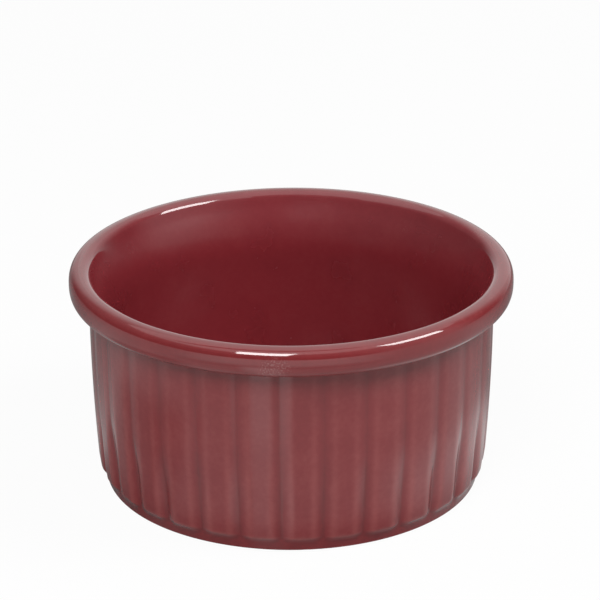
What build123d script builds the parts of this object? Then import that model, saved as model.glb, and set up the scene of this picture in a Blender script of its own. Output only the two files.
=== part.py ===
from build123d import *
from math import pi
import os

# A round fluted ramekin: one stoneware body under coats of glossy glaze.
# Millimetres, +Z up, origin on the standing surface at the middle of the foot.
# Sizes are those of the finished, glazed surface unless the comment says otherwise.

# Overall
rim_diameter = 100.0
overall_height = 50.7

# Rim: a bead turned outwards over the wall
bead_height = 6.4
bead_width = 4.3
bead_rounding = 2.0
mouth_rounding = 2.4
bead_root_rounding = 0.9

# Wall, measured in the grooves between the panels
wall_top_diameter = 89.4
wall_upright_height = 3.0
wall_low_diameter = 87.0
wall_low_height = 6.6
wall_thickness = 3.6

# Bowl: a flared mouth runs into a nearly upright wall and a flat floor
flare_depth = 9.2
flare_rounding = 24.0
bowl_corner_rounding = 7.0
floor_thickness = 4.6

# Foot ring, left bare, and the shallow recess inside it
foot_diameter = 85.2
foot_edge_rounding = 0.6
base_turn_rounding = 8.0
foot_ring_width = 5.0
foot_inner_rounding = 0.5
recess_depth = 1.6

# Raised panels of the fluted wall, and how deep each one is rooted in wall and bead
panel_count = 30
panel_relief = 0.95
groove_width = 2.5
panel_low_height = 3.0
panel_corner_rounding = 1.6
panel_edge_rounding = 0.65
panel_rooting = 0.6

# Glaze: its thickness, the height above the bare foot where it ends, how far out from
# the mouth's edge the two coats meet, and how far the underside is wiped off by the ring
glaze_thickness = 0.35
glaze_line_height = 0.25
glaze_seam_offset = 0.6
wiped_margin = 1.2
wiped_edge_rounding = 0.2

# Radii and heights that follow from the sizes above
rim_radius = rim_diameter / 2
mouth_radius = rim_radius - bead_width
wall_top_radius = wall_top_diameter / 2
wall_low_radius = wall_low_diameter / 2
bowl_top_radius = wall_top_radius - wall_thickness
bowl_low_radius = wall_low_radius - wall_thickness
foot_radius = foot_diameter / 2
foot_ring_inner_radius = foot_radius - foot_ring_width
bead_low_height = overall_height - bead_height
flare_low_height = overall_height - flare_depth
floor_height = recess_depth + floor_thickness

# A panel is as wide as the pitch at the middle of the wall, less one groove
mean_crest_diameter = (wall_top_diameter + wall_low_diameter) / 2 + 2 * panel_relief
panel_width = pi * mean_crest_diameter / panel_count - groove_width

# Where the flare has come to at the height where the bead begins
flare_slope = (mouth_radius - bowl_top_radius) / flare_depth
flare_radius_at_bead = bowl_top_radius + flare_slope * (bead_low_height - flare_low_height)

# The core line runs up the middle of the clay wall and out of the rim at the glaze seam
core_foot = (wall_low_radius - wall_thickness / 2, glaze_line_height)
core_floor = (wall_low_radius - wall_thickness / 2, recess_depth + floor_thickness / 2)
core_top = ((flare_radius_at_bead + wall_top_radius) / 2, bead_low_height)
core_seam = (mouth_radius + glaze_seam_offset, overall_height - mouth_rounding)
core_exit = (mouth_radius + glaze_seam_offset, overall_height)


def draw_wall_line(shift, top_height):
    """Draw the outside of the wall, moved out by the shift, from its top to the foot.

    It is upright under the bead, then leans in more and more on its way down.
    """
    top = (wall_top_radius + shift, top_height)
    upright_end = (wall_top_radius + shift, bead_low_height - wall_upright_height)
    wall_low = (wall_low_radius + shift, wall_low_height)
    foot_outer = (foot_radius + shift, 0)
    Line(top, upright_end)
    TangentArc(upright_end, wall_low, tangent=(0, -1))
    Line(wall_low, foot_outer)
    return top, wall_low, foot_outer


def round_corner(sketch, corner, radius):
    """Round the corner of a sketch that lies at the given point."""
    fillet(sketch.vertices().sort_by_distance(Vector(*corner))[0], radius=radius)


def draw_pot_section(inset):
    """Draw half a section of the pot through a groove, glazed faces moved in by the inset.

    The foot ring's standing face, its inner side and the recess stay where they are.
    """
    foot_inner = (foot_ring_inner_radius, 0)
    recess_edge = (foot_ring_inner_radius, recess_depth)
    recess_middle = (0, recess_depth)
    floor_middle = (0, floor_height - inset)
    floor_edge = (bowl_low_radius + inset, floor_height - inset)
    flare_low = (bowl_top_radius + inset, flare_low_height)
    mouth_edge = (mouth_radius + inset, overall_height - inset)
    rim_top = (rim_radius - inset, overall_height - inset)
    rim_low = (rim_radius - inset, bead_low_height + inset)
    with BuildSketch(Plane.XZ) as section:
        with BuildLine():
            bead_root, wall_low, foot_outer = draw_wall_line(-inset, bead_low_height + inset)
            Polyline(foot_outer, foot_inner, recess_edge, recess_middle, floor_middle)
            Polyline(floor_middle, floor_edge, flare_low, mouth_edge, rim_top, rim_low, bead_root)
        make_face()
        round_corner(section, rim_low, bead_rounding - inset)
        round_corner(section, rim_top, bead_rounding - inset)
        round_corner(section, mouth_edge, mouth_rounding - inset)
        round_corner(section, flare_low, flare_rounding - inset)
        round_corner(section, floor_edge, bowl_corner_rounding + inset)
        round_corner(section, bead_root, bead_root_rounding + inset)
        round_corner(section, wall_low, base_turn_rounding - inset)
        round_corner(section, foot_outer, foot_edge_rounding - inset)
        round_corner(section, foot_inner, foot_inner_rounding)
    return section.sketch


def make_panel(inset):
    """Make the panel at the front of the wall, all its faces moved in by the inset.

    It is rooted in the wall behind it and in the bead above it.
    """
    top_height = bead_low_height + panel_rooting
    low_height = panel_low_height + inset
    width = panel_width - 2 * inset
    with BuildPart() as panel:
        with BuildSketch(Plane.XZ) as section:
            with BuildLine():
                face_top, face_low, face_foot = draw_wall_line(panel_relief - inset, top_height)
                back_top, _, back_foot = draw_wall_line(-panel_rooting - inset, top_height)
                Line(face_top, back_top)
                Line(face_foot, back_foot)
            make_face()
            round_corner(section, face_low, base_turn_rounding + panel_relief - inset)
        revolve(axis=Axis.Z)
        with BuildSketch(Plane.XZ) as outline:
            with Locations((0, low_height)):
                Rectangle(width, top_height - low_height, align=(Align.CENTER, Align.MIN))
            for side in (-width / 2, width / 2):
                round_corner(outline, (side, low_height), panel_corner_rounding - inset)
        extrude(amount=rim_radius, mode=Mode.INTERSECT)
        front_edges = panel.faces().filter_by(lambda face: round(face.normal_at().Y) < 0).edges()
        side_edges = panel.faces().filter_by(lambda face: round(face.normal_at().Y) == 0).edges()
        rim_edges = (front_edges & side_edges).filter_by(lambda edge: edge.center().Z < bead_low_height)
        fillet(rim_edges, radius=panel_edge_rounding - inset)
    return panel.part


glazed_section = draw_pot_section(0)
clay_section = draw_pot_section(glaze_thickness)
glazed_panel = make_panel(0)
clay_panel = make_panel(glaze_thickness)

# The clay: a turned pot with the panels round its wall
with BuildPart() as stoneware_body:
    add(clay_section)
    revolve(axis=Axis.Z)
    with PolarLocations(0, panel_count):
        add(clay_panel)
stoneware_body.part.label = "stoneware_body"

# The outside coat: all that lies outside the core line at the glazed size, less the clay
with BuildPart() as outside_glaze:
    with BuildSketch(Plane.XZ):
        add(glazed_section)
        with BuildLine():
            Polyline(core_foot, core_top, core_seam, core_exit)
            Polyline(core_exit, (rim_radius, overall_height), (rim_radius, glaze_line_height), core_foot)
        make_face(mode=Mode.INTERSECT)
    revolve(axis=Axis.Z)
    with PolarLocations(0, panel_count):
        add(glazed_panel)
    add(stoneware_body.part, mode=Mode.SUBTRACT)
outside_glaze.part.label = "outside_glaze"

# The liner coat of the bowl: the same, on the inner side of the core line
with BuildPart() as inside_glaze:
    with BuildSketch(Plane.XZ):
        add(glazed_section)
        with BuildLine():
            Polyline(core_floor, core_top, core_seam, core_exit)
            Polyline(core_exit, (0, overall_height), (0, core_floor[1]), core_floor)
        make_face(mode=Mode.INTERSECT)
        add(clay_section, mode=Mode.SUBTRACT)
    revolve(axis=Axis.Z)
inside_glaze.part.label = "inside_glaze"

# The coat under the floor, wiped back from the foot ring
with BuildPart() as underside_glaze:
    with BuildSketch(Plane.XY.offset(recess_depth - glaze_thickness)):
        Circle(foot_ring_inner_radius - wiped_margin)
    extrude(amount=glaze_thickness)
    fillet(underside_glaze.edges().sort_by(Axis.Z)[0], radius=wiped_edge_rounding)
underside_glaze.part.label = "underside_glaze"

os.makedirs("parts", exist_ok=True)
for piece in (stoneware_body, outside_glaze, inside_glaze, underside_glaze):
    export_step(piece.part, f"parts/{piece.part.label}.step")
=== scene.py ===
# %% [markdown]
# A fluted ramekin, dressed for its portrait. The real dish is one pot of fired stoneware under a coat
# of glossy burgundy glaze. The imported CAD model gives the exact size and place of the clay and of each
# coat, so it is loaded first and everything else is made in the same frame: metres, +Z up, the origin
# on the table in the middle of the foot.

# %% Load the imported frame
import bpy
import math
import numpy as np
from mathutils import Matrix, Vector


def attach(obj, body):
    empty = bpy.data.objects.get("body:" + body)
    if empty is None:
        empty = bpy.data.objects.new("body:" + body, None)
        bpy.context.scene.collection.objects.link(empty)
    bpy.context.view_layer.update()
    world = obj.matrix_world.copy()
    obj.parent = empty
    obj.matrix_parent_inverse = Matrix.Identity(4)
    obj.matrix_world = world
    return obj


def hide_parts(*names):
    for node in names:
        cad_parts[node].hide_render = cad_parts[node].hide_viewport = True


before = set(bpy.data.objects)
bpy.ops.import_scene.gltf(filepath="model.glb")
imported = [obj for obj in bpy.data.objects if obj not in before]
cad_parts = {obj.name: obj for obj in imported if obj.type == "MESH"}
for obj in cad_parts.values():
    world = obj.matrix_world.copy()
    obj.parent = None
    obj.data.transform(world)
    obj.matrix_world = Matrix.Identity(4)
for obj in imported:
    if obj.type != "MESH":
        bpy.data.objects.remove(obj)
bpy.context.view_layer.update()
MM = 0.001

# %% [markdown]
# The pot is a turned shape, so it starts as a line: half a section, drawn in millimetres of radius and
# height. A potter would call it the rib's outline. A short helper rounds the corners of a line of
# straight runs, which is how the mouth, the flare and the bowl's corner are made. The rim bead is drawn
# as a squarish oval instead, because the real bead is a little fuller than the CAD model's. It hangs
# 0.3 mm lower and has the same outer size.

# %% Draw the outline of the pot
RIM_RADIUS, RIM_TOP = 50.0, 50.7
BEAD_LOW, BEAD_MIDDLE_RADIUS, BEAD_SQUARENESS = 44.0, 46.9, 2.8
WALL_TOP_RADIUS, WALL_UPRIGHT_LOW = 44.7, 41.3
WALL_LOW_RADIUS, WALL_LOW = 43.5, 6.6
FOOT_RADIUS, FOOT_STRIP, GLAZE_LINE, FOOT_ROUNDING = 42.6, 2.0, 0.25, 0.6
BEAD_ROOT_ROUNDING, MOUTH_ROUNDING, FLARE_ROUNDING, BOWL_CORNER_ROUNDING = 0.9, 2.4, 24.0, 7.0
MOUTH_RADIUS, FLARE_LOW_RADIUS, FLARE_LOW = 45.7, 41.1, 41.5
BOWL_LOW_RADIUS, BOWL_FLOOR = 39.9, 6.2
SEAM_RADIUS, RIM_REGION = 46.3, 1.0
GLAZE_THICKNESS = 0.35


def rounded_line(corners, radii, steps=24):
    """Round each inner corner of a line with an arc of its own radius.

    The arc's centre lies on the corner's bisector, at the radius over the sine of half the angle.
    The arc turns from one point of tangency to the other at an even rate.
    """
    corners = np.array(corners, float)
    pieces = [corners[:1]]
    for before, corner, after, radius in zip(corners[:-2], corners[1:-1], corners[2:], radii):
        back = (before - corner) / np.linalg.norm(before - corner)
        ahead = (after - corner) / np.linalg.norm(after - corner)
        half = np.arccos(back @ ahead) / 2
        bisector = (back + ahead) / np.linalg.norm(back + ahead)
        centre = corner + bisector * radius / np.sin(half)
        start = corner + back * radius / np.tan(half) - centre
        end = corner + ahead * radius / np.tan(half) - centre
        turn, t = np.pi - 2 * half, np.linspace(0, 1, steps)[:, None]
        pieces.append(centre + (np.sin((1 - t) * turn) * start + np.sin(t * turn) * end) / np.sin(turn))
    pieces.append(corners[-1:])
    return np.vstack(pieces)


def draw_wall():
    """The wall from the glaze line up: a foot arc, a short lean out, then one long arc to upright.

    The long arc touches the upright at its top and passes through the wall's low point.
    """
    foot_side = [(FOOT_RADIUS - FOOT_STRIP, 0), (FOOT_RADIUS, 0), (WALL_LOW_RADIUS, WALL_LOW)]
    foot = rounded_line(foot_side, [FOOT_ROUNDING])
    foot = foot[foot[:, 1] >= GLAZE_LINE]
    drop = WALL_UPRIGHT_LOW - WALL_LOW
    lean = WALL_TOP_RADIUS - WALL_LOW_RADIUS
    bend = (drop**2 + lean**2) / (2 * lean)
    height = np.linspace(WALL_LOW, WALL_UPRIGHT_LOW, 120)[1:]
    radius = WALL_TOP_RADIUS - bend + np.sqrt(bend**2 - (WALL_UPRIGHT_LOW - height) ** 2)
    return np.vstack([foot, np.column_stack([radius, height])])


def draw_bead():
    """The rim bead: a squarish oval, where each cosine and sine is raised to 2 over the squareness.

    It stops three degrees short of its top, where the arc of the mouth takes over.
    """
    angle = np.radians(np.linspace(-89, 87, 177))
    power = 2 / BEAD_SQUARENESS
    half_width, half_height = RIM_RADIUS - BEAD_MIDDLE_RADIUS, (RIM_TOP - BEAD_LOW) / 2
    radius = BEAD_MIDDLE_RADIUS + half_width * np.abs(np.cos(angle)) ** power
    height = BEAD_LOW + half_height * (1 + np.sign(np.sin(angle)) * np.abs(np.sin(angle)) ** power)
    return np.column_stack([radius, height])


root = rounded_line(
    [(WALL_TOP_RADIUS, WALL_UPRIGHT_LOW), (WALL_TOP_RADIUS, BEAD_LOW), (BEAD_MIDDLE_RADIUS, BEAD_LOW)],
    [BEAD_ROOT_ROUNDING],
)
bowl = rounded_line(
    [
        (BEAD_MIDDLE_RADIUS, RIM_TOP),
        (MOUTH_RADIUS, RIM_TOP),
        (FLARE_LOW_RADIUS, FLARE_LOW),
        (BOWL_LOW_RADIUS, BOWL_FLOOR),
        (0, BOWL_FLOOR),
    ],
    [MOUTH_ROUNDING, FLARE_ROUNDING, BOWL_CORNER_ROUNDING],
)
outline = np.vstack([draw_wall(), root[1:], draw_bead(), bowl[1:]])
seam = int(np.argmax((outline[:, 1] > RIM_TOP - RIM_REGION) & (outline[:, 0] < SEAM_RADIUS)))
print("outline points", len(outline), "seam at", outline[seam].round(2))

# %% [markdown]
# Each coat of glaze is a thin closed skin: its glossy face, and 0.35 mm behind that the face that is
# melted to the clay. The outline is sampled again so that rows crowd together where it turns and where
# the panels end, and spread out on the long straight runs. That keeps every curve smooth without
# wasting triangles.

# %% Sample the outline and give it a thickness
STEP_LENGTH, STEP_DEGREES = 1.7, 5
TOE_ROWS, TOE_MIDDLE, TOE_SPREAD, OUTER_RADIUS = 2.2, 3.9, 1.3, 42
OUTSIDE_ROWS, OUTSIDE_BACK_ROWS, LINER_ROWS, LINER_BACK_ROWS = 104, 16, 92, 22


def evenly_by(weight, line, count):
    """Pick points along a line so that each step adds the same share of the running weight."""
    share = np.concatenate([[0], np.cumsum(weight)])
    wanted = np.linspace(0, share[-1], count)
    return np.column_stack([np.interp(wanted, share, line[:, k]) for k in (0, 1)])


def row_weight(line, toe_rows=0.0):
    """The weight of each step: its length and its turn, each over a usual one, and extra at the toes."""
    step = np.diff(line, axis=0)
    length = np.linalg.norm(step, axis=1)
    heading = np.unwrap(np.arctan2(step[:, 1], step[:, 0]))
    turn = np.abs(np.gradient(heading))
    middle = (line[1:] + line[:-1]) / 2
    toe = toe_rows * np.exp(-(((middle[:, 1] - TOE_MIDDLE) / TOE_SPREAD) ** 2))
    toe = toe * (middle[:, 0] > OUTER_RADIUS)
    return length / STEP_LENGTH + np.degrees(turn) / STEP_DEGREES + toe * length


def moved_in(line, distance):
    """Move a line to its left by a distance along its normals, which is into the clay here."""
    heading = np.gradient(line, axis=0)
    heading /= np.linalg.norm(heading, axis=1)[:, None]
    return line + distance * np.column_stack([-heading[:, 1], heading[:, 0]])


def finer(line, step=0.1):
    """Put points every tenth of a millimetre along a line."""
    length = np.concatenate([[0], np.cumsum(np.linalg.norm(np.diff(line, axis=0), axis=1))])
    at = np.linspace(0, length[-1], int(length[-1] / step))
    return np.column_stack([np.interp(at, length, line[:, k]) for k in (0, 1)])


print("coats", GLAZE_THICKNESS, "mm thick, rows outside", OUTSIDE_ROWS, "and in the bowl", LINER_ROWS)

# %% [markdown]
# The flutes are thirty raised panels. On the real dish they come out of the mould, and the glaze then
# softens every edge: it fills the groove's corners a little and rolls over the panel's shoulders a lot.
# Here a panel is a soft step in the radius: the distance from its rounded outline says how far up the
# step a point is. The grooves get shallower on the way up, and from the middle of the wall the glaze
# fills three quarters of their depth. The panels run out under the bead, so the step fades there.

# %% Raise the panels on the wall
PANEL_COUNT, PANEL_RELIEF, PANEL_HALF_WIDTH = 30, 0.95, 3.5
TOE_HEIGHT, TOE_ROUNDING, TOE_TIGHTNESS = 3.0, 1.8, 1.9
SHOULDER_IN, SHOULDER_OUT, SHOULDER_SKEW = 2.20, 1.10, 0.70
SIDE_NUDGE, TOE_NUDGE_DOWN, TOE_NUDGE_UP = 0.07, 0.16, 0.02
GROOVE_FILL_AT_TOP, FILL_START, FILL_RISE = 0.76, 9, 15
FADE_CLEARANCE, FADE_WIDTH, FADE_HEIGHT, FADE_RISE = 0.3, 2.4, 1, 2


def smooth(t):
    """Rise from 0 to 1 with no corner at either end: three t squared less two t cubed."""
    t = np.clip(t, 0, 1)
    return t * t * (3 - 2 * t)


def panel_climb(radius, height, turn):
    """How far across a panel's shoulder each point of the wall is: 0 in a groove, 1 on the face.

    The distance is that from a rectangle with two rounded lower corners and no upper end: outside
    it is positive. Distances up and down count more, which makes the shoulder at the toe narrower.
    """
    pitch = 2 * np.pi / PANEL_COUNT
    number = np.round(turn / pitch)
    rng = np.random.default_rng(7)
    which = number.astype(int) % PANEL_COUNT
    nudge = rng.uniform(-SIDE_NUDGE, SIDE_NUDGE, PANEL_COUNT)[which]
    toe_nudge = rng.uniform(-TOE_NUDGE_DOWN, TOE_NUDGE_UP, PANEL_COUNT)[which]
    across = np.abs((turn - number * pitch) * radius - nudge)
    past_side = across - (PANEL_HALF_WIDTH - TOE_ROUNDING)
    past_toe = TOE_TIGHTNESS * (TOE_HEIGHT + toe_nudge - height) + TOE_ROUNDING
    distance = (
        np.hypot(np.maximum(past_side, 0), np.maximum(past_toe, 0))
        + np.minimum(np.maximum(past_side, past_toe), 0)
        - TOE_ROUNDING
    )
    return np.clip((SHOULDER_OUT - distance) / (SHOULDER_IN + SHOULDER_OUT), 0, 1)


def panel_height(radius, height, turn):
    """How far each point of the wall is raised, in mm: a step, with the groove filled at its top.

    A power below 1 makes the step leave the groove soon and roll over slowly onto the face.
    """
    step = smooth(panel_climb(radius, height, turn) ** SHOULDER_SKEW)
    filled = GROOVE_FILL_AT_TOP * smooth((height - FILL_START) / FILL_RISE)
    under_bead = 1 - smooth((radius - WALL_TOP_RADIUS - FADE_CLEARANCE) / FADE_WIDTH)
    below_bead = 1 - smooth((height - BEAD_LOW - FADE_HEIGHT) / FADE_RISE)
    return PANEL_RELIEF * (step + filled * (1 - step)) * under_bead * below_bead


face, groove = panel_height(WALL_TOP_RADIUS, WALL_UPRIGHT_LOW / 2, np.array([0, np.pi / PANEL_COUNT]))
print("at half height a panel stands", round(face - groove, 2), "mm above its groove")

# %% [markdown]
# The section is carried round the pot's axis, as clay turns on a wheel. The angles crowd together at
# the sides of the panels, as the rows do at their toes.

# %% Carry the section round the axis
TURNS_PER_PANEL, EDGE_TURNS, EDGE_SPREAD = 26, 1.2, 0.14


def panel_turns():
    """Angles round the pot, as many for each panel, crowded at the edges of the panels."""
    pitch = 2 * np.pi / PANEL_COUNT
    place = np.linspace(-0.5, 0.5, 2001)
    edge = PANEL_HALF_WIDTH / (pitch * WALL_TOP_RADIUS)
    weight = 1 + EDGE_TURNS * np.exp(-(((np.abs(place) - edge) / EDGE_SPREAD) ** 2))
    share = np.cumsum(weight)
    share = (share - share[0]) / (share[-1] - share[0])
    one = np.interp(np.arange(TURNS_PER_PANEL) / TURNS_PER_PANEL, share, place)
    return (np.arange(PANEL_COUNT)[:, None] + one[None, :]).ravel() * pitch


def turned_points(line, turns, raised=None):
    """Carry a line of radius and height round the axis, panel middle on -Y, and raise the panels."""
    radius = np.repeat(line[:, :1], len(turns), axis=1)
    height = np.repeat(line[:, 1:], len(turns), axis=1)
    if raised is not None:
        radius = radius + raised(radius, height, turns[None, :])
    return np.stack([radius * np.sin(turns), -radius * np.cos(turns), height], axis=-1)


print("columns round the pot", len(panel_turns()))

# %% [markdown]
# Melted glaze draws back from edges and gathers in hollows. So each point of a glossy face is told how
# deep the glaze lies there, from how sharply the face bends, and the material reads it later.

# %% Work out how deep the glaze lies
PLAIN_DEPTH, DEPTH_PER_BULGE, DEEPEST_HOLLOW, SHARPEST_EDGE = 0.5, 0.20, -0.6, 1


def coat_bulge(points):
    """How sharply a glossy face bulges at each point, in 1/mm: plus on an edge, minus in a hollow.

    It is the turn of the line along the column and along the row there, over the length of a step.
    The end rows take the value of the rows beside them.
    """
    rows = points[1:-1]
    before, behind = np.roll(rows, 1, 1), np.roll(rows, -1, 1)
    normals = np.cross(behind - before, points[2:] - points[:-2])
    normals /= np.linalg.norm(normals, axis=-1, keepdims=True)

    def bend(point_before, point_after):
        ahead, back = point_after - rows, rows - point_before
        ahead_length = np.linalg.norm(ahead, axis=-1, keepdims=True)
        back_length = np.linalg.norm(back, axis=-1, keepdims=True)
        turn = ((ahead / ahead_length - back / back_length) * normals).sum(-1)
        return -turn / ((ahead_length + back_length)[..., 0] / 2)

    inner = bend(points[:-2], points[2:]) + bend(before, behind)
    return np.vstack([inner[:1], inner, inner[-1:]])


def glaze_depth(points, pooling_and_painted_light=0.0):
    """How thick the glaze lies: 0.5 on plain faces, less on edges, more where it gathers, up to 1."""
    bulge = np.clip(coat_bulge(points), DEEPEST_HOLLOW, SHARPEST_EDGE)
    # The extra amount holds pooled glaze, and on the outside coat also painted shade in the grooves and a
    # painted highlight on the shoulders
    return np.clip(PLAIN_DEPTH - DEPTH_PER_BULGE * bulge + pooling_and_painted_light, 0, 1)


print("depth on a plain face", PLAIN_DEPTH, "on a sharp edge", PLAIN_DEPTH - DEPTH_PER_BULGE * SHARPEST_EDGE)

# %% [markdown]
# A grid of points becomes a mesh by joining each point to the next one round the pot and to the next
# row up. Where a coat ends on the pot's axis, a fan of triangles closes it, and otherwise its last row
# joins its first one, so each coat is a closed solid that can be printed or measured.

# %% Turn a grid of points into a closed mesh


def mesh_piece(name, points, glossy, depth, poles=None):
    """Make a closed mesh from a grid of points in mm, rows along the section and columns round it.

    The glossy rows are a slice of the grid, and depth is that of the glaze on them. The other rows lie
    against the clay.
    """
    rows, columns = points.shape[:2]
    index = np.arange(rows * columns).reshape(rows, columns)
    below = index if poles is None else index[:-1]
    above = np.roll(index, -1, 0) if poles is None else index[1:]
    quads = np.stack([below, np.roll(below, -1, 1), np.roll(above, -1, 1), above], -1).reshape(-1, 4)
    faces = quads.tolist()
    vertices = points.reshape(-1, 3)
    stored = np.full((rows, columns), PLAIN_DEPTH)
    stored[glossy] = depth
    stored = stored.ravel()
    if poles is not None:
        first, last = index[0], index[-1]
        low, high = rows * columns, rows * columns + 1
        faces += np.column_stack([np.full(columns, low), np.roll(first, -1), first]).tolist()
        faces += np.column_stack([last, np.roll(last, -1), np.full(columns, high)]).tolist()
        vertices = np.vstack([vertices, poles])
        stored = np.concatenate([stored, [PLAIN_DEPTH, PLAIN_DEPTH]])
    mesh = bpy.data.meshes.new(name)
    mesh.from_pydata((vertices * MM).tolist(), [], faces)
    mesh.polygons.foreach_set("use_smooth", np.ones(len(faces), bool))
    attribute = mesh.attributes.new("glaze_depth", "FLOAT", "POINT")
    attribute.data.foreach_set("value", stored.astype(np.float32))
    mesh.update()
    ends = np.zeros(len(mesh.vertices), bool)
    ends[index[glossy][[0, -1]].ravel()] = True
    pairs = np.array([edge.vertices[:] for edge in mesh.edges])
    same_ring = (pairs[:, 0] // columns == pairs[:, 1] // columns) & ends[pairs].all(axis=1)
    mesh.edges.foreach_set("use_edge_sharp", same_ring)
    piece = bpy.data.objects.new(name, mesh)
    bpy.context.scene.collection.objects.link(piece)
    triangles = sum(len(face) - 2 for face in faces)
    print(name, "triangles", triangles, "glaze", depth.min().round(2), depth.max().round(2))
    return piece


# %% [markdown]
# The outside coat runs from the glaze line above the foot to the seam on top of the rim. Its colour is
# darkest in the grooves and palest on the panels' shoulders, most of all low on the wall. This is partly
# glaze that gathers and thins, and partly painted shade in the grooves and a painted highlight on the
# shoulders. The glaze lies a little thicker on the bead.

# %% Make the outside coat
GROOVE_POOL_AND_SHADE, GROOVE_SHARE, SHOULDER_THINNING_AND_HIGHLIGHT, BEAD_DEPTH = 0.13, 0.45, 0.20, 0.12
SHOULDER_MIDDLE, SHOULDER_SPREAD = 0.66, 0.24
WEAKER_AT_TOP, WEAKER_START, WEAKER_RISE = 0.5, 12, 24
BEAD_CHANGE_BELOW, BEAD_CHANGE_RISE = 1, 2

outside_line = finer(outline[: seam + 1])
outside_face = evenly_by(row_weight(outside_line, TOE_ROWS), outside_line, OUTSIDE_ROWS)
behind_outside = moved_in(outside_line, GLAZE_THICKNESS)
outside_back = evenly_by(row_weight(outside_line), behind_outside, OUTSIDE_BACK_ROWS)[::-1]
outside_back[:, 1] = np.maximum(outside_back[:, 1], GLAZE_LINE)
outside_rows = np.vstack([outside_face, outside_back])
outside_points = turned_points(outside_rows, panel_turns(), panel_height)
glossy = slice(0, len(outside_face))
radius, height = outside_face[:, :1], outside_face[:, 1:]
climb = panel_climb(radius, height, panel_turns()[None, :])
# Painted shade and highlight: the grooves are darkened for pooled glaze and for the shade that falls in
# them, and the shoulders are paled for thinned glaze and for the light on them
groove_pool_and_shade = GROOVE_POOL_AND_SHADE * (1 - smooth(climb / GROOVE_SHARE))
shoulder_thinning_and_highlight = SHOULDER_THINNING_AND_HIGHLIGHT * np.exp(-(((climb - SHOULDER_MIDDLE) / SHOULDER_SPREAD) ** 2))
strength = 1 - WEAKER_AT_TOP * smooth((height - WEAKER_START) / WEAKER_RISE)
on_wall = 1 - smooth((height - BEAD_LOW + BEAD_CHANGE_BELOW) / BEAD_CHANGE_RISE)
pooling_and_painted_light = (groove_pool_and_shade - shoulder_thinning_and_highlight) * strength * on_wall + BEAD_DEPTH * (1 - on_wall)
outside_depth_and_painted_light = glaze_depth(outside_points[glossy], pooling_and_painted_light)
outside_coat = mesh_piece("outside_coat", outside_points, glossy, outside_depth_and_painted_light)
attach(outside_coat, "root")
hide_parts("outside_glaze")

# %% [markdown]
# The liner coat has no flutes, but it takes the same columns, so that the two coats meet without a gap.
# It runs from the seam down the flare and the wall to the middle of the floor, and its back follows the
# clay underneath.

# %% Make the liner coat
NEAR_AXIS = 0.4

liner_line = finer(outline[seam:])
liner_face = evenly_by(row_weight(liner_line), liner_line, LINER_ROWS)
behind_liner = moved_in(liner_line, GLAZE_THICKNESS)
liner_back = evenly_by(row_weight(liner_line), behind_liner, LINER_BACK_ROWS)[::-1]
liner_face = liner_face[liner_face[:, 0] > NEAR_AXIS]
liner_back = liner_back[liner_back[:, 0] > NEAR_AXIS]
liner_rows = np.vstack([liner_back, liner_face])
axis_points = np.array([[0, 0, BOWL_FLOOR - GLAZE_THICKNESS], [0, 0, BOWL_FLOOR]])
liner_points = turned_points(liner_rows, panel_turns())
glossy = slice(len(liner_back), None)
liner_coat = mesh_piece("liner_coat", liner_points, glossy, glaze_depth(liner_points[glossy]), axis_points)
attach(liner_coat, "root")
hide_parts("inside_glaze")

# %% [markdown]
# Materials are made of nodes. A few small helpers turn colours and sizes into the numbers that nodes
# take, and one function adds any node with its settings and links.

# %% Helpers for the materials


def linear(code):
    """Turn an sRGB hex colour into the linear numbers that a shader takes."""
    values = [int(code[k : k + 2], 16) / 255 for k in (1, 3, 5)]
    return [v / 12.92 if v <= 0.04045 else ((v + 0.055) / 1.055) ** 2.4 for v in values] + [1.0]


def per_metre(size):
    """The scale of a pattern from its real size in mm: how many of them go into a metre."""
    return 1 / (size * MM)


def add_node(tree, kind, settings=None, **links):
    """Add a node, set its properties and sockets by name, and link the outputs given to its sockets."""
    node = tree.nodes.new(kind)
    for key, value in (settings or {}).items():
        if isinstance(key, str) and hasattr(node, key):
            setattr(node, key, value)
        else:
            node.inputs[key].default_value = value
    for key, output in links.items():
        socket = node.inputs[int(key[1:])] if key[1:].isdigit() else node.inputs[key.replace("_", " ")]
        tree.links.new(output, socket)
    return node


def new_material(name):
    """Start a material with an empty tree and give back both."""
    material = bpy.data.materials.new(name)
    material.use_nodes = True
    material.node_tree.nodes.clear()
    return material, material.node_tree


def set_stops(colour_ramp, stops):
    """Give a colour ramp its stops, which are pairs of a place and a hex colour."""
    while len(colour_ramp.elements) < len(stops):
        colour_ramp.elements.new(0.5)
    for element, (place, code) in zip(colour_ramp.elements, stops):
        element.position = place
        element.color = linear(code)


print("burgundy in linear numbers", [round(value, 3) for value in linear("#712427")])

# %% [markdown]
# Now the finishes. A glaze is a thin layer of coloured glass. It gives the eye a clear, sharp
# reflection on top of a deep colour, and that colour is not quite even: the glass runs thin and paler
# over every edge and gathers darker in every hollow. The depth of the glaze, which was stored with the
# mesh, says where. On the outside coat it also holds painted shade in the grooves and a painted
# highlight on the panels' shoulders. On top of that come faint clouds in the colour, a slight orange
# peel, and a few pinholes where gas escaped in the kiln.

# %% Mix the glaze
CLOUD, MOTTLE, ORANGE_PEEL = 7.143, 1.111, 5.882
PINHOLE_SPACING, PINHOLE_CORE, PINHOLE_EDGE = 3.846, 0.0846, 0.1769
RUBBED_PATCH, SCUFF = 12.5, 0.3125


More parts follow.
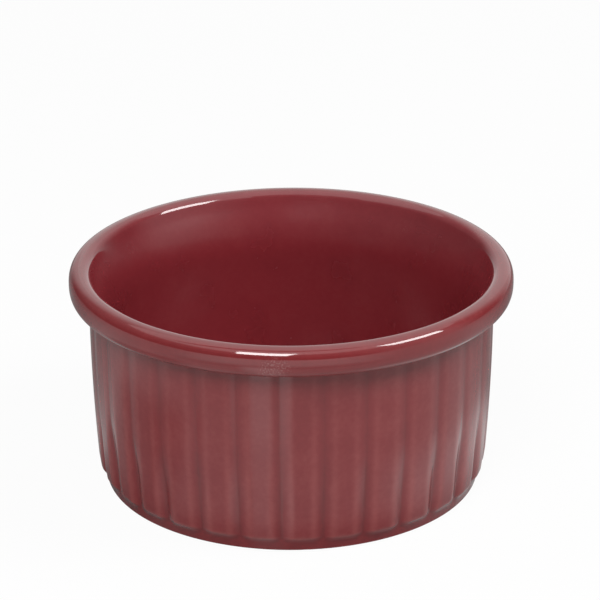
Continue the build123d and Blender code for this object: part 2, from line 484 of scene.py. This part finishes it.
def glaze(name, thin, full, pooled, roughness, low_roughness, low, high, scuffing):
    """A glossy coloured glaze over stoneware, with its thin, full and pooled colours as hex codes.

    Its roughness goes from one value below the low height to another above the high one, in metres,
    and the scuffing says how strongly the rubbed places on the rim show.
    """
    material, tree = new_material(name)
    place = add_node(tree, "ShaderNodeTexCoord").outputs["Object"]
    lie = add_node(tree, "ShaderNodeAttribute", {"attribute_name": "glaze_depth"}).outputs["Fac"]

    # Clouds of colour about 7 mm across, and a finer mottle of about 1 mm
    clouds = add_node(tree, "ShaderNodeTexNoise", {"Scale": per_metre(CLOUD), "Detail": 3.0}, Vector=place)
    mottle = add_node(tree, "ShaderNodeTexNoise", {"Scale": per_metre(MOTTLE), "Detail": 2.0}, Vector=place)
    wander = add_node(tree, "ShaderNodeMath", {"operation": "MULTIPLY_ADD", 1: 0.30, 2: -0.15},
                      _0=clouds.outputs["Fac"])
    grain = add_node(tree, "ShaderNodeMath", {"operation": "MULTIPLY_ADD", 1: 0.22, 2: -0.11},
                     _0=mottle.outputs["Fac"])
    uneven = add_node(tree, "ShaderNodeMath", {"operation": "ADD"}, _0=wander.outputs[0],
                      _1=grain.outputs[0])
    depth = add_node(tree, "ShaderNodeMath", {"operation": "ADD", "use_clamp": True}, _0=lie,
                     _1=uneven.outputs[0])
    # On the outside coat the pooled colour also paints shade in the grooves, and the thin colour paints a
    # highlight on the panels' shoulders
    colour = add_node(tree, "ShaderNodeValToRGB", Fac=depth.outputs[0])
    set_stops(colour.color_ramp, [(0.0, thin), (0.5, full), (1.0, pooled)])

    # Pinholes: one cell in many, a few millimetres apart, holds a pit a quarter of a millimetre wide
    cells = add_node(tree, "ShaderNodeTexVoronoi", {"Scale": per_metre(PINHOLE_SPACING)}, Vector=place)
    chosen = add_node(tree, "ShaderNodeSeparateColor", Color=cells.outputs["Color"])
    rare = add_node(tree, "ShaderNodeMath", {"operation": "GREATER_THAN", 1: 0.975},
                    _0=chosen.outputs["Red"])
    near = add_node(tree, "ShaderNodeMapRange", {"From Min": PINHOLE_CORE / PINHOLE_SPACING,
                    "From Max": PINHOLE_EDGE / PINHOLE_SPACING, "To Min": 1.0, "To Max": 0.0,
                    "interpolation_type": "SMOOTHSTEP"}, Value=cells.outputs["Distance"])
    pit = add_node(tree, "ShaderNodeMath", {"operation": "MULTIPLY"}, _0=rare.outputs[0],
                   _1=near.outputs["Result"])
    pit_colour = add_node(tree, "ShaderNodeValToRGB", Fac=chosen.outputs["Green"])
    set_stops(pit_colour.color_ramp, [(0.0, "#3A1113"), (0.62, "#451618"), (0.7, "#C69A92")])
    speckled = add_node(tree, "ShaderNodeMix", {"data_type": "RGBA"})
    tree.links.new(pit.outputs[0], speckled.inputs["Factor"])
    tree.links.new(colour.outputs["Color"], speckled.inputs[6])
    tree.links.new(pit_colour.outputs["Color"], speckled.inputs[7])

    # Rubbed places on the rim, where dishes are stacked: only the peaks of the patches' noise show,
    # which makes them about 5 mm wide, and fine pale scuffs fill them
    height = add_node(tree, "ShaderNodeSeparateXYZ", Vector=place).outputs["Z"]
    patches = add_node(tree, "ShaderNodeTexNoise", {"Scale": per_metre(RUBBED_PATCH), "Detail": 1.0},
                       Vector=place)
    scuffs = add_node(tree, "ShaderNodeTexNoise", {"Scale": per_metre(SCUFF), "Detail": 2.0}, Vector=place)
    in_patch, in_scuff, on_rim = (
        add_node(tree, "ShaderNodeMapRange", {"From Min": start, "From Max": end,
                 "interpolation_type": "SMOOTHSTEP"}, Value=value)
        for value, start, end in ((patches.outputs["Fac"], 0.64, 0.76), (scuffs.outputs["Fac"], 0.54, 0.62),
                                  (height, 0.0435, 0.0460))
    )
    fine = add_node(tree, "ShaderNodeMath", {"operation": "MULTIPLY"}, _0=in_patch.outputs["Result"],
                    _1=in_scuff.outputs["Result"])
    placed = add_node(tree, "ShaderNodeMath", {"operation": "MULTIPLY"}, _0=fine.outputs[0],
                      _1=on_rim.outputs["Result"])
    rubbed = add_node(tree, "ShaderNodeMath", {"operation": "MULTIPLY", 1: scuffing}, _0=placed.outputs[0])
    scuffed = add_node(tree, "ShaderNodeMix", {"data_type": "RGBA"})
    tree.links.new(rubbed.outputs[0], scuffed.inputs["Factor"])
    tree.links.new(speckled.outputs[2], scuffed.inputs[6])
    scuffed.inputs[7].default_value = linear("#D9B4B0")

    # Orange peel: long, very shallow waves of about 6 mm, and the pits sink in
    peel = add_node(tree, "ShaderNodeTexNoise", {"Scale": per_metre(ORANGE_PEEL), "Detail": 2.0},
                    Vector=place)
    skin = add_node(tree, "ShaderNodeMath", {"operation": "MULTIPLY_ADD", 1: -0.6}, _0=pit.outputs[0],
                    _2=peel.outputs["Fac"])
    bump = add_node(tree, "ShaderNodeBump", {"Strength": 0.35, "Distance": 0.06 * MM},
                    Height=skin.outputs[0])
    level = add_node(tree, "ShaderNodeMapRange", {"From Min": low, "From Max": high, "To Min": low_roughness,
                     "To Max": roughness, "interpolation_type": "SMOOTHSTEP"}, Value=height)
    worn = add_node(tree, "ShaderNodeMapRange", {"To Min": 0.8, "To Max": 1.2}, Value=clouds.outputs["Fac"])
    gloss = add_node(tree, "ShaderNodeMath", {"operation": "MULTIPLY"}, _0=level.outputs["Result"],
                     _1=worn.outputs["Result"])

    shader = add_node(tree, "ShaderNodeBsdfPrincipled", {"IOR": 1.54, "Metallic": 0.0})
    tree.links.new(scuffed.outputs[2], shader.inputs["Base Color"])
    tree.links.new(gloss.outputs[0], shader.inputs["Roughness"])
    tree.links.new(bump.outputs["Normal"], shader.inputs["Normal"])
    add_node(tree, "ShaderNodeOutputMaterial", Surface=shader.outputs["BSDF"])
    return material


# %% [markdown]
# Both coats come from the same recipe. The outside is a little paler where it runs thin. The rim is the
# glossiest place of all: lower down, the wall is a little softer and the bowl softer still, so that
# their reflections blur.

# %% Glaze the coats
outside_glaze = glaze(
    "burgundy stoneware glaze", thin="#884140", full="#712427", pooled="#57181B",
    roughness=0.06, low_roughness=0.15, low=0.040, high=0.046, scuffing=0.11,
)
liner_glaze = glaze(
    "burgundy liner glaze", thin="#7E3638", full="#702228", pooled="#58161C",
    roughness=0.06, low_roughness=0.26, low=0.0465, high=0.0495, scuffing=0.04,
)
outside_coat.data.materials.append(outside_glaze)
liner_coat.data.materials.append(liner_glaze)
print(outside_glaze.name, "and", liner_glaze.name, "of", len(liner_glaze.node_tree.nodes), "nodes each")

# %% [markdown]
# The clay shows only where a glazed pot would stick to the kiln shelf: on the foot ring. Bare fired
# stoneware is matt and a little sandy, buff with iron specks.

# %% Finish the bare clay and the underside
SAND_GRAIN, CLAY_CLOUD, SPECK_SPACING, SPECK_RADIUS = 0.5, 11.11, 1.429, 0.3144


def bare_stoneware(name):
    """Fired buff stoneware: matt, with a sandy grain of half a millimetre and small iron specks."""
    material, tree = new_material(name)
    place = add_node(tree, "ShaderNodeTexCoord").outputs["Object"]
    sand = add_node(tree, "ShaderNodeTexNoise", {"Scale": per_metre(SAND_GRAIN), "Detail": 4.0},
                    Vector=place)
    patches = add_node(tree, "ShaderNodeTexNoise", {"Scale": per_metre(CLAY_CLOUD), "Detail": 2.0},
                       Vector=place)
    blend = add_node(tree, "ShaderNodeMath", {"operation": "MULTIPLY_ADD", 1: 0.5},
                     _0=sand.outputs["Fac"])
    half = add_node(tree, "ShaderNodeMath", {"operation": "MULTIPLY", 1: 0.5}, _0=patches.outputs["Fac"])
    tree.links.new(half.outputs[0], blend.inputs[2])
    colour = add_node(tree, "ShaderNodeValToRGB", Fac=blend.outputs[0])
    set_stops(colour.color_ramp, [(0.35, "#B59A7C"), (0.5, "#CDB698"), (0.65, "#DCCAB0")])
    cells = add_node(tree, "ShaderNodeTexVoronoi", {"Scale": per_metre(SPECK_SPACING)}, Vector=place)
    chosen = add_node(tree, "ShaderNodeSeparateColor", Color=cells.outputs["Color"])
    rare = add_node(tree, "ShaderNodeMath", {"operation": "GREATER_THAN", 1: 0.9},
                    _0=chosen.outputs["Red"])
    near = add_node(tree, "ShaderNodeMath", {"operation": "LESS_THAN", 1: SPECK_RADIUS / SPECK_SPACING},
                    _0=cells.outputs["Distance"])
    speck = add_node(tree, "ShaderNodeMath", {"operation": "MULTIPLY"}, _0=rare.outputs[0],
                     _1=near.outputs[0])
    mixed = add_node(tree, "ShaderNodeMix", {"data_type": "RGBA"})
    tree.links.new(speck.outputs[0], mixed.inputs["Factor"])
    tree.links.new(colour.outputs["Color"], mixed.inputs[6])
    mixed.inputs[7].default_value = linear("#6A4A36")
    bump = add_node(tree, "ShaderNodeBump", {"Strength": 0.6, "Distance": 0.08 * MM},
                    Height=sand.outputs["Fac"])
    shader = add_node(tree, "ShaderNodeBsdfPrincipled", {"IOR": 1.5, "Roughness": 0.85})
    tree.links.new(mixed.outputs[2], shader.inputs["Base Color"])
    tree.links.new(bump.outputs["Normal"], shader.inputs["Normal"])
    add_node(tree, "ShaderNodeOutputMaterial", Surface=shader.outputs["BSDF"])
    return material


clay = bare_stoneware("bare fired stoneware")
for node_name, finish in (("stoneware_body", clay), ("underside_glaze", outside_glaze)):
    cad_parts[node_name].data.materials.clear()
    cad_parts[node_name].data.materials.append(finish)
    print(node_name, "is", finish.name)

# %% [markdown]
# Things on the stage are placed as on a compass: by their distance from the pot's axis and their angle
# from the camera. The camera itself stands almost in front of a panel's middle.

# %% Find places on the stage
CAMERA_AZIMUTH = -2.8


def on_compass(distance, azimuth, height=0.0):
    """A point at a distance from the axis: azimuth 0 is towards the camera, plus is to its right."""
    angle = math.radians(azimuth + CAMERA_AZIMUTH)
    return Vector((distance * math.sin(angle), -distance * math.cos(angle), height))


def plain_mesh(name, corners, faces):
    """Put a bare mesh on the stage, its corners in metres."""
    mesh = bpy.data.meshes.new(name)
    mesh.from_pydata([tuple(corner) for corner in corners], [], faces)
    thing = bpy.data.objects.new(name, mesh)
    bpy.context.scene.collection.objects.link(thing)
    return thing


print("a metre towards the camera is", [round(value, 3) for value in on_compass(1, 0)])

# %% [markdown]
# The stage is a white table. The camera sees it as plain white with the pot's soft shadow. The shadow
# falls on matt paper, which has a small share in what the camera sees.

# %% Lay the table
TABLE_HALF, CAMERA_SHARE = 3.0, 0.95

table_corners = [(x * TABLE_HALF, y * TABLE_HALF, 0) for x, y in ((-1, -1), (1, -1), (1, 1), (-1, 1))]
table_top = plain_mesh("table_top", table_corners, [(0, 1, 2, 3)])
table_white, tree = new_material("white table")
rays = add_node(tree, "ShaderNodeLightPath")
place = add_node(tree, "ShaderNodeTexCoord").outputs["Object"]
paper = add_node(tree, "ShaderNodeBsdfDiffuse", {"Color": linear("#D0D0D0")})
plain = add_node(tree, "ShaderNodeEmission", {"Color": (1, 1, 1, 1), "Strength": 1.0})
camera_share = add_node(tree, "ShaderNodeMath", {"operation": "MULTIPLY", 1: CAMERA_SHARE},
                        _0=rays.outputs["Is Camera Ray"])
seen = add_node(tree, "ShaderNodeMixShader")
tree.links.new(camera_share.outputs[0], seen.inputs[0])
tree.links.new(paper.outputs[0], seen.inputs[1])
tree.links.new(plain.outputs[0], seen.inputs[2])
print("table", 2 * TABLE_HALF, "m wide, of which the camera sees", CAMERA_SHARE, "as plain white")

# %% [markdown]
# The gloss of the glaze sees the table as the light falls on it. A bright pool in front of the pot
# shows as a pale streak in the panels, and the table beside the pot is brighter on the right than on
# the left. It is dim behind the pot and close to its foot, where the pot keeps the light away.

# %% Light the table for the gloss
TABLE_LEVEL = 0.80


def pool_of_light(tree, place, azimuth, half_width, apex, soft):
    """A wedge of light on the table: 1 inside, 0 outside, with a soft edge in degrees.

    The wedge opens from its apex towards an azimuth, and its angle there is that between the line
    from the apex and the wedge's middle line.
    """
    offset = add_node(tree, "ShaderNodeVectorMath", {"operation": "SUBTRACT", 1: apex[:]}, _0=place)
    unit = add_node(tree, "ShaderNodeVectorMath", {"operation": "NORMALIZE"}, _0=offset.outputs["Vector"])
    middle = on_compass(1.0, azimuth)
    along = add_node(tree, "ShaderNodeVectorMath", {"operation": "DOT_PRODUCT", 1: middle[:]},
                     _0=unit.outputs["Vector"])
    inner, outer = (math.cos(math.radians(half_width + side * soft / 2)) for side in (-1, 1))
    return add_node(tree, "ShaderNodeMapRange", {"From Min": outer, "From Max": inner,
                    "interpolation_type": "SMOOTHSTEP"}, Value=along.outputs["Value"]).outputs["Result"]


foot_middle = on_compass(0, 0)
front_pool = pool_of_light(tree, place, azimuth=-15, half_width=7, apex=on_compass(0.024, 0), soft=14)
far_pool = pool_of_light(tree, place, azimuth=-5, half_width=35, apex=foot_middle, soft=40)
behind = pool_of_light(tree, place, azimuth=180, half_width=74, apex=foot_middle, soft=40)
right_pool = pool_of_light(tree, place, azimuth=78, half_width=40, apex=on_compass(0.010, 35), soft=30)
left_pool = pool_of_light(tree, place, azimuth=-70, half_width=20, apex=foot_middle, soft=20)
reach = add_node(tree, "ShaderNodeVectorMath", {"operation": "LENGTH"}, _0=place)


def by_reach(start, end, before, after):
    """A value that changes smoothly with the distance from the pot's axis, in metres."""
    return add_node(tree, "ShaderNodeMapRange", {"From Min": start, "From Max": end, "To Min": before,
                    "To Max": after, "interpolation_type": "SMOOTHSTEP"},
                    Value=reach.outputs["Value"]).outputs["Result"]


level = add_node(tree, "ShaderNodeMath", {"operation": "MULTIPLY_ADD", 2: TABLE_LEVEL}, _0=front_pool,
                 _1=by_reach(start=0.070, end=0.115, before=0.38, after=0.72))
for pool, strength in (
    (front_pool, by_reach(start=0.130, end=0.155, before=0.0, after=-0.72)),
    (far_pool, by_reach(start=0.122, end=0.138, before=0.0, after=-0.16)),
    (far_pool, by_reach(start=0.140, end=0.168, before=0.0, after=0.66)),
    (right_pool, by_reach(start=0.066, end=0.085, before=0.40, after=0.02)),
    (left_pool, by_reach(start=0.095, end=0.120, before=-0.38, after=0.0)),
    (behind, by_reach(start=0.045, end=0.060, before=-0.25, after=-0.50)),
):
    level = add_node(tree, "ShaderNodeMath", {"operation": "MULTIPLY_ADD"}, _0=pool, _1=strength,
                     _2=level.outputs[0])
level = add_node(tree, "ShaderNodeMath", {"operation": "MULTIPLY"}, _0=level.outputs[0],
                 _1=by_reach(start=0.043, end=0.062, before=0.42, after=1.0))
lit = add_node(tree, "ShaderNodeEmission", {"Color": (1, 1, 1, 1)}, Strength=level.outputs[0])
top = add_node(tree, "ShaderNodeMixShader")
tree.links.new(rays.outputs["Is Glossy Ray"], top.inputs[0])
tree.links.new(seen.outputs[0], top.inputs[1])
tree.links.new(lit.outputs[0], top.inputs[2])
add_node(tree, "ShaderNodeOutputMaterial", Surface=top.outputs[0])
table_top.data.materials.append(table_white)
print(table_white.name, "of", len(tree.nodes), "nodes, its plain level in the gloss", TABLE_LEVEL)

# %% [markdown]
# The light is a small studio in a pale room. The room gives a little fill, more of it from the left.
# Gloss shows what is round the pot, so the room is white to the camera and to reflections, and
# brightest overhead.

# %% Light the room
FILL_AZIMUTH, FILL_LEAST, FILL_MOST = -75, 0.155, 0.55
CEILING_START, CEILING_END, CEILING_GLOW, GLOSS_GLOW = 0.55, 0.95, 0.45, 0.15

world = bpy.data.worlds.new("pale room")
bpy.context.scene.world = world
world.use_nodes = True
tree = world.node_tree
tree.nodes.clear()
rays = add_node(tree, "ShaderNodeLightPath")
seen = add_node(tree, "ShaderNodeMath", {"operation": "MAXIMUM"}, _0=rays.outputs["Is Camera Ray"],
                _1=rays.outputs["Is Glossy Ray"])
seen = add_node(tree, "ShaderNodeMath", {"operation": "MAXIMUM"}, _0=seen.outputs[0],
                _1=rays.outputs["Is Transmission Ray"])
sky = add_node(tree, "ShaderNodeTexCoord").outputs["Generated"]
fill_side = on_compass(1, FILL_AZIMUTH)
from_left = add_node(tree, "ShaderNodeVectorMath", {"operation": "DOT_PRODUCT", 1: fill_side[:]}, _0=sky)
fill_level = add_node(tree, "ShaderNodeMapRange", {"To Min": FILL_LEAST, "To Max": FILL_MOST,
                      "interpolation_type": "SMOOTHSTEP"}, Value=from_left.outputs["Value"])
fill = add_node(tree, "ShaderNodeBackground", {"Color": (1, 1, 1, 1)},
                Strength=fill_level.outputs["Result"])
rise = add_node(tree, "ShaderNodeSeparateXYZ", Vector=sky).outputs["Z"]
ceiling = add_node(tree, "ShaderNodeMapRange", {"From Min": CEILING_START, "From Max": CEILING_END,
                   "interpolation_type": "SMOOTHSTEP"}, Value=rise)
lifted = add_node(tree, "ShaderNodeMath", {"operation": "MULTIPLY_ADD", 1: CEILING_GLOW, 2: GLOSS_GLOW},
                  _0=ceiling.outputs["Result"])
in_gloss = add_node(tree, "ShaderNodeMath", {"operation": "MULTIPLY"}, _0=lifted.outputs[0],
                    _1=rays.outputs["Is Glossy Ray"])
brightness = add_node(tree, "ShaderNodeMath", {"operation": "ADD", 1: 1.0}, _0=in_gloss.outputs[0])
white = add_node(tree, "ShaderNodeBackground", {"Color": (1, 1, 1, 1)}, Strength=brightness.outputs[0])
room = add_node(tree, "ShaderNodeMixShader")
tree.links.new(seen.outputs[0], room.inputs[0])
tree.links.new(fill.outputs[0], room.inputs[1])
tree.links.new(white.outputs[0], room.inputs[2])
add_node(tree, "ShaderNodeOutputWorld", Surface=room.outputs[0])
print("fill from", FILL_LEAST, "on the right to", FILL_MOST, "on the left")

# %% [markdown]
# Two big soft lamps do most of the work: one high at the front left, and one high on the right.

# %% Hang the lamps
AIM_HEIGHT = 0.04


def soft_lamp(name, azimuth, elevation, width, height, radiance, roll=0.0, distance=1.0):
    """A flat lamp aimed at the pot. Its power is pi times its radiance times its area."""
    data = bpy.data.lights.new(name, "AREA")
    data.shape = "RECTANGLE"
    data.size, data.size_y = width, height
    data.energy = math.pi * radiance * width * height
    lamp = bpy.data.objects.new(name, data)
    flat = distance * math.cos(math.radians(elevation))
    lamp.location = on_compass(flat, azimuth, distance * math.sin(math.radians(elevation)) + AIM_HEIGHT)
    aim = (Vector((0, 0, AIM_HEIGHT)) - lamp.location).to_track_quat("-Z", "Y")
    lamp.rotation_euler = (aim.to_matrix() @ Matrix.Rotation(math.radians(roll), 3, "Z")).to_euler()
    bpy.context.scene.collection.objects.link(lamp)
    print(name, "of", round(data.energy, 2), "W")
    return lamp


front_lamp = soft_lamp(
    "front_left_lamp", azimuth=-16, elevation=47, width=0.40, height=0.44, radiance=14.0
)
soft_lamp("right_lamp", azimuth=78, elevation=46, width=0.46, height=0.34, radiance=15.5, roll=-20)

# %% [markdown]
# Grey cloth hangs round the pot at a distance and stands for the dim parts of the room. It is seen only
# in reflections. It is dim behind the camera and at the left, darkest of all at its foot, and bright at
# the right as a window would make it. Towards its two ends behind the pot it turns as white as the
# room. Its shares are of its height, and its turns are in degrees to the camera's right.

# %% Hang the grey cloth and the flag
CLOTH_DISTANCE, CLOTH_HEIGHT, CLOTH_LEFT, CLOTH_RIGHT = 1.3, 1.40, -168, 150
CLOTH_COLUMNS, CLOTH_ROWS = 125, 13
DIM, MIDDLE_GLOW, TOP_GLOW, ROOM_GLOW, WINDOW_STRENGTH = 0.11, 0.14, 0.25, 0.95, 0.7
MIDDLE_START, MIDDLE_RISE, TOP_START, TOP_RISE = 0.16, 0.34, 0.55, 0.45
WINDOW_START, WINDOW_RISE, WINDOW_END, WINDOW_FALL = 15, 60, 85, 25
RIGHT_END, RIGHT_END_RISE, LEFT_END, LEFT_END_RISE = 118, 32, 138, 30
SHEET_GLOW, FLAG_LOW_GLOW, FLAG_HIGH_GLOW = 19.0, 0.24, 0.50


def glow_only_in_gloss(thing, glow):
    """Let a thing be seen only in reflections, with a glow of its own at each corner."""
    thing.visible_camera = thing.visible_diffuse = thing.visible_shadow = False
    thing.data.attributes.new("glow", "FLOAT", "POINT").data.foreach_set("value", np.array(glow, np.float32))
    material, tree = new_material(thing.name + " cloth")
    level = add_node(tree, "ShaderNodeAttribute", {"attribute_name": "glow"}).outputs["Fac"]
    shine = add_node(tree, "ShaderNodeEmission", Strength=level)
    add_node(tree, "ShaderNodeOutputMaterial", Surface=shine.outputs[0])
    material.cycles.emission_sampling = "NONE"
    thing.data.materials.append(material)


turns = np.linspace(CLOTH_LEFT, CLOTH_RIGHT, CLOTH_COLUMNS)
heights = np.linspace(0, CLOTH_HEIGHT, CLOTH_ROWS)
corners = [on_compass(CLOTH_DISTANCE, turn, height) for height in heights for turn in turns]
index = np.arange(len(corners)).reshape(len(heights), len(turns))
quads = np.stack([index[:-1, :-1], index[:-1, 1:], index[1:, 1:], index[1:, :-1]], -1)
share = heights[:, None] / CLOTH_HEIGHT
middle, top = smooth((share - MIDDLE_START) / MIDDLE_RISE), smooth((share - TOP_START) / TOP_RISE)
level = DIM + MIDDLE_GLOW * middle + TOP_GLOW * top
window = smooth((turns - WINDOW_START) / WINDOW_RISE) * (1 - smooth((turns - WINDOW_END) / WINDOW_FALL))
ends = smooth((turns - RIGHT_END) / RIGHT_END_RISE) + smooth((-turns - LEFT_END) / LEFT_END_RISE)
glow = level + (ROOM_GLOW - level) * (WINDOW_STRENGTH * window + ends)
grey_cloth = plain_mesh("grey_cloth", corners, quads.reshape(-1, 4).tolist())
glow_only_in_gloss(grey_cloth, glow.ravel())
print("the cloth glows from", glow.min().round(2), "to", glow.max().round(2))

# The front lamp's image in the gloss is a sheet of its own, in the lamp's place, so that a flag over
# the front of the pot can keep that image off the back of the bowl while the lamp still lights it
front_lamp.visible_glossy = False
half = Vector((front_lamp.data.size / 2, front_lamp.data.size_y / 2))
seat = Matrix.Translation(front_lamp.location) @ front_lamp.rotation_euler.to_matrix().to_4x4()
sheet_corners = [
    seat @ Vector((x * half.x, y * half.y, 0)) for x, y in ((-1, -1), (1, -1), (1, 1), (-1, 1))
]
sheet = plain_mesh("front_lamp_sheet", sheet_corners, [(0, 1, 2, 3)])
glow_only_in_gloss(sheet, [SHEET_GLOW] * 4)
flag_corners = [
    on_compass(0.075, azimuth=-62, height=0.10),
    on_compass(0.055, azimuth=40, height=0.10),
    on_compass(0.070, azimuth=40, height=0.24),
    on_compass(0.115, azimuth=-62, height=0.24),
]
flag = plain_mesh("flag", flag_corners, [(0, 1, 2, 3)])
glow_only_in_gloss(flag, [FLAG_LOW_GLOW, FLAG_LOW_GLOW, FLAG_HIGH_GLOW, FLAG_HIGH_GLOW])

# %% [markdown]
# The camera stands where the photographer's did. A long lens, 24 degrees above the table, and the
# outline of the dish gave its place. It points a little above the pot, because the dish sits low in
# the picture, and it leans by a third of a degree.

# %% Set up the camera
ELEVATION, DISTANCE, LENS, SENSOR_WIDTH = 24.19, 0.6877, 180.53, 36.0
NEAREST, FARTHEST = 0.05, 20.0
TARGET = Vector((0, 0, 0.022))
TARGET_RIGHT, TARGET_UP, LEAN = -0.002742, -0.026286, 0.32

azimuth, elevation, lean = (math.radians(v) for v in (CAMERA_AZIMUTH, ELEVATION, LEAN))
back = Vector((math.sin(azimuth) * math.cos(elevation), -math.cos(azimuth) * math.cos(elevation),
               math.sin(elevation)))
level_right = Vector((math.cos(azimuth), math.sin(azimuth), 0))
level_up = back.cross(level_right)
right = level_right * math.cos(lean) - level_up * math.sin(lean)
up = level_right * math.sin(lean) + level_up * math.cos(lean)
look_back = (back + right * TARGET_RIGHT + up * TARGET_UP).normalized()
look_right = (right - look_back * right.dot(look_back)).normalized()
look_up = look_back.cross(look_right)
camera_data = bpy.data.cameras.new("camera")
camera_data.lens, camera_data.sensor_width = LENS, SENSOR_WIDTH
camera_data.clip_start, camera_data.clip_end = NEAREST, FARTHEST
camera = bpy.data.objects.new("camera", camera_data)
turn = Matrix((look_right, look_up, look_back)).transposed().to_4x4()
camera.matrix_world = Matrix.Translation(TARGET + back * DISTANCE) @ turn
bpy.context.scene.collection.objects.link(camera)
bpy.context.scene.camera = camera
print("camera at", [round(value, 3) for value in camera.matrix_world.translation])
bpy.context.scene.view_settings.view_transform = "Standard"
